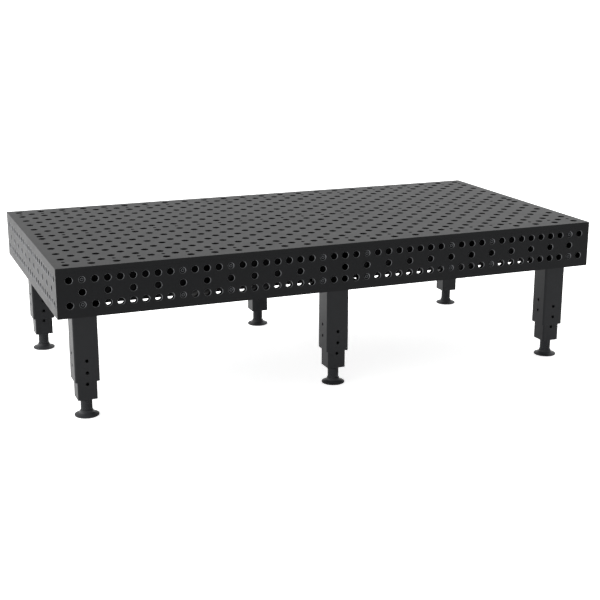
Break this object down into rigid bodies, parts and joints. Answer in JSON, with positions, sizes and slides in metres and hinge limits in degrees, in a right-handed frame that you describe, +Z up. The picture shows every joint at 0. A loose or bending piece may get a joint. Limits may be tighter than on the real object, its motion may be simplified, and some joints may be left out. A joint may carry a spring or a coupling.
{
  "type": "welding table",
  "caption": "Perforated steel welding table with a drilled grid in its top and sides, a ribbed frame, telescopic square legs and screw-adjusted round feet.",
  "frame": {"origin": "on the floor, under the centre of the work surface", "axes": "+X along the table, +Y from its front to its back, +Z up"},
  "size_m": [2.4, 1.2, 0.642],
  "materials": {
    "work_surface_steel": "blackened plate steel, ground flat, satin",
    "frame_steel": "blackened plate steel, as cut and welded, satin to matt",
    "leg_steel": "black coated square steel tube, satin",
    "fastener_steel": "black oxide machined steel",
    "foot_steel": "black oxide turned steel"
  },
  "bodies": {
    "table": {"top_plate": "work_surface_steel", "front_panel": "work_surface_steel", "rear_panel": "work_surface_steel", "left_panel": "work_surface_steel", "right_panel": "work_surface_steel", "cross_beam_1": "frame_steel", "cross_beam_2": "frame_steel", "cross_beam_3": "frame_steel", "long_rib_1": "frame_steel", "long_rib_2": "frame_steel", "long_rib_3": "frame_steel", "long_rib_4": "frame_steel", "spine_end_plate_left": "frame_steel", "spine_end_plate_right": "frame_steel", "corner_bracket_front_left": "frame_steel", "corner_bracket_front_right": "frame_steel", "corner_bracket_rear_left": "frame_steel", "corner_bracket_rear_right": "frame_steel", "leg_mount_plate_front_left": "frame_steel", "leg_mount_plate_front_middle": "frame_steel", "leg_mount_plate_front_right": "frame_steel", "leg_mount_plate_rear_left": "frame_steel", "leg_mount_plate_rear_middle": "frame_steel", "leg_mount_plate_rear_right": "frame_steel", "leg_sleeve_front_left": "leg_steel", "leg_sleeve_front_middle": "leg_steel", "leg_sleeve_front_right": "leg_steel", "leg_sleeve_rear_left": "leg_steel", "leg_sleeve_rear_middle": "leg_steel", "leg_sleeve_rear_right": "leg_steel", "leg_clamp_bolt_front_left": "fastener_steel", "leg_clamp_bolt_front_middle": "fastener_steel", "leg_clamp_bolt_front_right": "fastener_steel", "leg_clamp_bolt_rear_left": "fastener_steel", "leg_clamp_bolt_rear_middle": "fastener_steel", "leg_clamp_bolt_rear_right": "fastener_steel"},
    "leg_front_left": {"leg_tube_front_left": "leg_steel", "foot_nut_front_left": "fastener_steel"},
    "pad_front_left": {"foot_pad_front_left": "foot_steel"},
    "spindle_front_left": {"foot_spindle_front_left": "fastener_steel"},
    "leg_front_middle": {"leg_tube_front_middle": "leg_steel", "foot_nut_front_middle": "fastener_steel"},
    "pad_front_middle": {"foot_pad_front_middle": "foot_steel"},
    "spindle_front_middle": {"foot_spindle_front_middle": "fastener_steel"},
    "leg_front_right": {"leg_tube_front_right": "leg_steel", "foot_nut_front_right": "fastener_steel"},
    "pad_front_right": {"foot_pad_front_right": "foot_steel"},
    "spindle_front_right": {"foot_spindle_front_right": "fastener_steel"},
    "leg_rear_left": {"leg_tube_rear_left": "leg_steel", "foot_nut_rear_left": "fastener_steel"},
    "pad_rear_left": {"foot_pad_rear_left": "foot_steel"},
    "spindle_rear_left": {"foot_spindle_rear_left": "fastener_steel"},
    "leg_rear_middle": {"leg_tube_rear_middle": "leg_steel", "foot_nut_rear_middle": "fastener_steel"},
    "pad_rear_middle": {"foot_pad_rear_middle": "foot_steel"},
    "spindle_rear_middle": {"foot_spindle_rear_middle": "fastener_steel"},
    "leg_rear_right": {"leg_tube_rear_right": "leg_steel", "foot_nut_rear_right": "fastener_steel"},
    "pad_rear_right": {"foot_pad_rear_right": "foot_steel"},
    "spindle_rear_right": {"foot_spindle_rear_right": "fastener_steel"}
  },
  "joints": [
    {"name": "leg_extend_front_left", "type": "slide", "parent": "table", "child": "leg_front_left", "axis": [0, 0, -1], "range_m": [0, 0.15]},
    {"name": "foot_travel_front_left", "type": "slide", "parent": "leg_front_left", "child": "pad_front_left", "axis": [0, 0, -1], "range_m": [-0.025, 0.025]},
    {"name": "foot_turn_front_left", "type": "hinge", "parent": "pad_front_left", "child": "spindle_front_left", "pos_m": [-1.082, -0.482, 0.05], "axis": [0, 0, -1], "range_deg": [-1805, 1805]},
    {"name": "leg_extend_front_middle", "type": "slide", "parent": "table", "child": "leg_front_middle", "axis": [0, 0, -1], "range_m": [0, 0.15]},
    {"name": "foot_travel_front_middle", "type": "slide", "parent": "leg_front_middle", "child": "pad_front_middle", "axis": [0, 0, -1], "range_m": [-0.025, 0.025]},
    {"name": "foot_turn_front_middle", "type": "hinge", "parent": "pad_front_middle", "child": "spindle_front_middle", "pos_m": [0, -0.482, 0.05], "axis": [0, 0, -1], "range_deg": [-1805, 1805]},
    {"name": "leg_extend_front_right", "type": "slide", "parent": "table", "child": "leg_front_right", "axis": [0, 0, -1], "range_m": [0, 0.15]},
    {"name": "foot_travel_front_right", "type": "slide", "parent": "leg_front_right", "child": "pad_front_right", "axis": [0, 0, -1], "range_m": [-0.025, 0.025]},
    {"name": "foot_turn_front_right", "type": "hinge", "parent": "pad_front_right", "child": "spindle_front_right", "pos_m": [1.082, -0.482, 0.05], "axis": [0, 0, -1], "range_deg": [-1805, 1805]},
    {"name": "leg_extend_rear_left", "type": "slide", "parent": "table", "child": "leg_rear_left", "axis": [0, 0, -1], "range_m": [0, 0.15]},
    {"name": "foot_travel_rear_left", "type": "slide", "parent": "leg_rear_left", "child": "pad_rear_left", "axis": [0, 0, -1], "range_m": [-0.025, 0.025]},
    {"name": "foot_turn_rear_left", "type": "hinge", "parent": "pad_rear_left", "child": "spindle_rear_left", "pos_m": [-1.082, 0.482, 0.05], "axis": [0, 0, -1], "range_deg": [-1805, 1805]},
    {"name": "leg_extend_rear_middle", "type": "slide", "parent": "table", "child": "leg_rear_middle", "axis": [0, 0, -1], "range_m": [0, 0.15]},
    {"name": "foot_travel_rear_middle", "type": "slide", "parent": "leg_rear_middle", "child": "pad_rear_middle", "axis": [0, 0, -1], "range_m": [-0.025, 0.025]},
    {"name": "foot_turn_rear_middle", "type": "hinge", "parent": "pad_rear_middle", "child": "spindle_rear_middle", "pos_m": [0, 0.482, 0.05], "axis": [0, 0, -1], "range_deg": [-1805, 1805]},
    {"name": "leg_extend_rear_right", "type": "slide", "parent": "table", "child": "leg_rear_right", "axis": [0, 0, -1], "range_m": [0, 0.15]},
    {"name": "foot_travel_rear_right", "type": "slide", "parent": "leg_rear_right", "child": "pad_rear_right", "axis": [0, 0, -1], "range_m": [-0.025, 0.025]},
    {"name": "foot_turn_rear_right", "type": "hinge", "parent": "pad_rear_right", "child": "spindle_rear_right", "pos_m": [1.082, 0.482, 0.05], "axis": [0, 0, -1], "range_deg": [-1805, 1805]}
  ],
  "couplings": [
    {"joint": "foot_turn_front_left", "follows": "foot_travel_front_left", "rad_per_m": 1256.6},
    {"joint": "foot_turn_front_middle", "follows": "foot_travel_front_middle", "rad_per_m": 1256.6},
    {"joint": "foot_turn_front_right", "follows": "foot_travel_front_right", "rad_per_m": 1256.6},
    {"joint": "foot_turn_rear_left", "follows": "foot_travel_rear_left", "rad_per_m": 1256.6},
    {"joint": "foot_turn_rear_middle", "follows": "foot_travel_rear_middle", "rad_per_m": 1256.6},
    {"joint": "foot_turn_rear_right", "follows": "foot_travel_rear_right", "rad_per_m": 1256.6}
  ]
}
